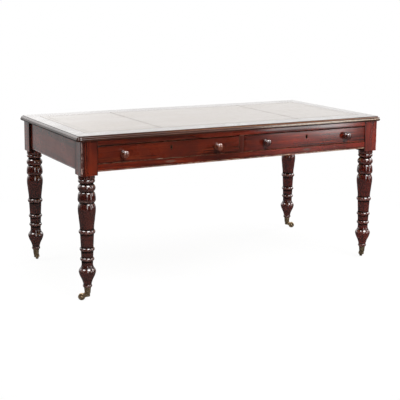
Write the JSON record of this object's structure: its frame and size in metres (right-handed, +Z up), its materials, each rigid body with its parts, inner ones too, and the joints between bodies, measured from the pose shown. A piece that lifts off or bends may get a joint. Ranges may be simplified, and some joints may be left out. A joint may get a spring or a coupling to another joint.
{
  "type": "writing desk",
  "caption": "Long writing desk on turned tapering legs with brass casters, leather-lined moulded top, frieze drawers with turned knobs and locks.",
  "frame": {"origin": "on the floor, under the centre of the desk's overall box", "axes": "+Z up, +X along the desk to the right of a person who faces the drawers, +Y to the back"},
  "size_m": [1.68, 0.842, 0.76],
  "materials": {
    "top_mahogany": "french polished mahogany",
    "mahogany": "french polished red mahogany",
    "leg_mahogany": "dark french polished mahogany",
    "secondary_wood": "bare pine, darkened with age",
    "drawer_lining": "bare oak",
    "leather": "polished tan hide",
    "brass": "aged brass",
    "caster_brass": "worn dull brass",
    "iron": "old iron"
  },
  "bodies": {
    "desk": {"top_border_front": "top_mahogany", "top_border_back": "top_mahogany", "top_border_left": "top_mahogany", "top_border_right": "top_mahogany", "top_core": "secondary_wood", "leather_left": "leather", "leather_centre": "leather", "leather_right": "leather", "front_left_leg": "leg_mahogany", "front_right_leg": "leg_mahogany", "back_left_leg": "leg_mahogany", "back_right_leg": "leg_mahogany", "front_top_rail": "mahogany", "front_bottom_rail": "mahogany", "drawer_divider": "mahogany", "left_side_rail": "mahogany", "right_side_rail": "mahogany", "back_rail": "mahogany", "fillet_strips": "mahogany", "drawer_runners": "secondary_wood", "drawer_guides": "secondary_wood", "drawer_kickers": "secondary_wood", "drawer_stops": "secondary_wood", "glue_blocks": "secondary_wood", "top_screws": "iron", "front_left_caster_cup": "caster_brass", "front_right_caster_cup": "caster_brass", "back_left_caster_cup": "caster_brass", "back_right_caster_cup": "caster_brass"},
    "left_drawer": {"left_drawer_front": "mahogany", "left_drawer_left_side": "drawer_lining", "left_drawer_right_side": "drawer_lining", "left_drawer_back": "drawer_lining", "left_drawer_bottom": "drawer_lining", "left_drawer_knobs": "leg_mahogany", "left_drawer_lock_case": "brass", "left_drawer_keyhole_liner": "brass"},
    "left_lock_bolt": {"left_drawer_lock_bolt": "brass"},
    "right_drawer": {"right_drawer_front": "mahogany", "right_drawer_left_side": "drawer_lining", "right_drawer_right_side": "drawer_lining", "right_drawer_back": "drawer_lining", "right_drawer_bottom": "drawer_lining", "right_drawer_knobs": "leg_mahogany", "right_drawer_lock_case": "brass", "right_drawer_keyhole_liner": "brass"},
    "right_lock_bolt": {"right_drawer_lock_bolt": "brass"},
    "front_left_caster": {"front_left_caster_horn": "caster_brass", "front_left_caster_axle": "caster_brass"},
    "front_left_wheel": {"front_left_caster_wheel": "caster_brass"},
    "front_right_caster": {"front_right_caster_horn": "caster_brass", "front_right_caster_axle": "caster_brass"},
    "front_right_wheel": {"front_right_caster_wheel": "caster_brass"},
    "back_left_caster": {"back_left_caster_horn": "caster_brass", "back_left_caster_axle": "caster_brass"},
    "back_left_wheel": {"back_left_caster_wheel": "caster_brass"},
    "back_right_caster": {"back_right_caster_horn": "caster_brass", "back_right_caster_axle": "caster_brass"},
    "back_right_wheel": {"back_right_caster_wheel": "caster_brass"}
  },
  "joints": [
    {"name": "left_drawer_slide", "type": "slide", "parent": "desk", "child": "left_drawer", "axis": [0, -1, 0], "range_m": [0, 0.4]},
    {"name": "right_drawer_slide", "type": "slide", "parent": "desk", "child": "right_drawer", "axis": [0, -1, 0], "range_m": [0, 0.4]},
    {"name": "left_lock_bolt_throw", "type": "slide", "parent": "left_drawer", "child": "left_lock_bolt", "axis": [0, 0, 1], "range_m": [0, 0.009]},
    {"name": "right_lock_bolt_throw", "type": "slide", "parent": "right_drawer", "child": "right_lock_bolt", "axis": [0, 0, 1], "range_m": [0, 0.009]},
    {"name": "front_left_caster_swivel", "type": "hinge", "parent": "desk", "child": "front_left_caster", "pos_m": [-0.78, -0.345, 0.025], "axis": [0, 0, 1], "continuous": true},
    {"name": "front_right_caster_swivel", "type": "hinge", "parent": "desk", "child": "front_right_caster", "pos_m": [0.78, -0.345, 0.025], "axis": [0, 0, 1], "continuous": true},
    {"name": "back_left_caster_swivel", "type": "hinge", "parent": "desk", "child": "back_left_caster", "pos_m": [-0.78, 0.371, 0.025], "axis": [0, 0, 1], "continuous": true},
    {"name": "back_right_caster_swivel", "type": "hinge", "parent": "desk", "child": "back_right_caster", "pos_m": [0.78, 0.371, 0.025], "axis": [0, 0, 1], "continuous": true},
    {"name": "front_left_wheel_roll", "type": "hinge", "parent": "front_left_caster", "child": "front_left_wheel", "pos_m": [-0.80368, -0.33203, 0.016], "axis": [-0.4802, -0.8771, 0], "continuous": true},
    {"name": "front_right_wheel_roll", "type": "hinge", "parent": "front_right_caster", "child": "front_right_wheel", "pos_m": [0.79297, -0.32132, 0.016], "axis": [-0.8771, 0.4802, 0], "continuous": true},
    {"name": "back_left_wheel_roll", "type": "hinge", "parent": "back_left_caster", "child": "back_left_wheel", "pos_m": [-0.76703, 0.39468, 0.016], "axis": [-0.8771, 0.4802, 0], "continuous": true},
    {"name": "back_right_wheel_roll", "type": "hinge", "parent": "back_right_caster", "child": "back_right_wheel", "pos_m": [0.80368, 0.35803, 0.016], "axis": [0.4802, 0.8771, 0], "continuous": true}
  ]
}
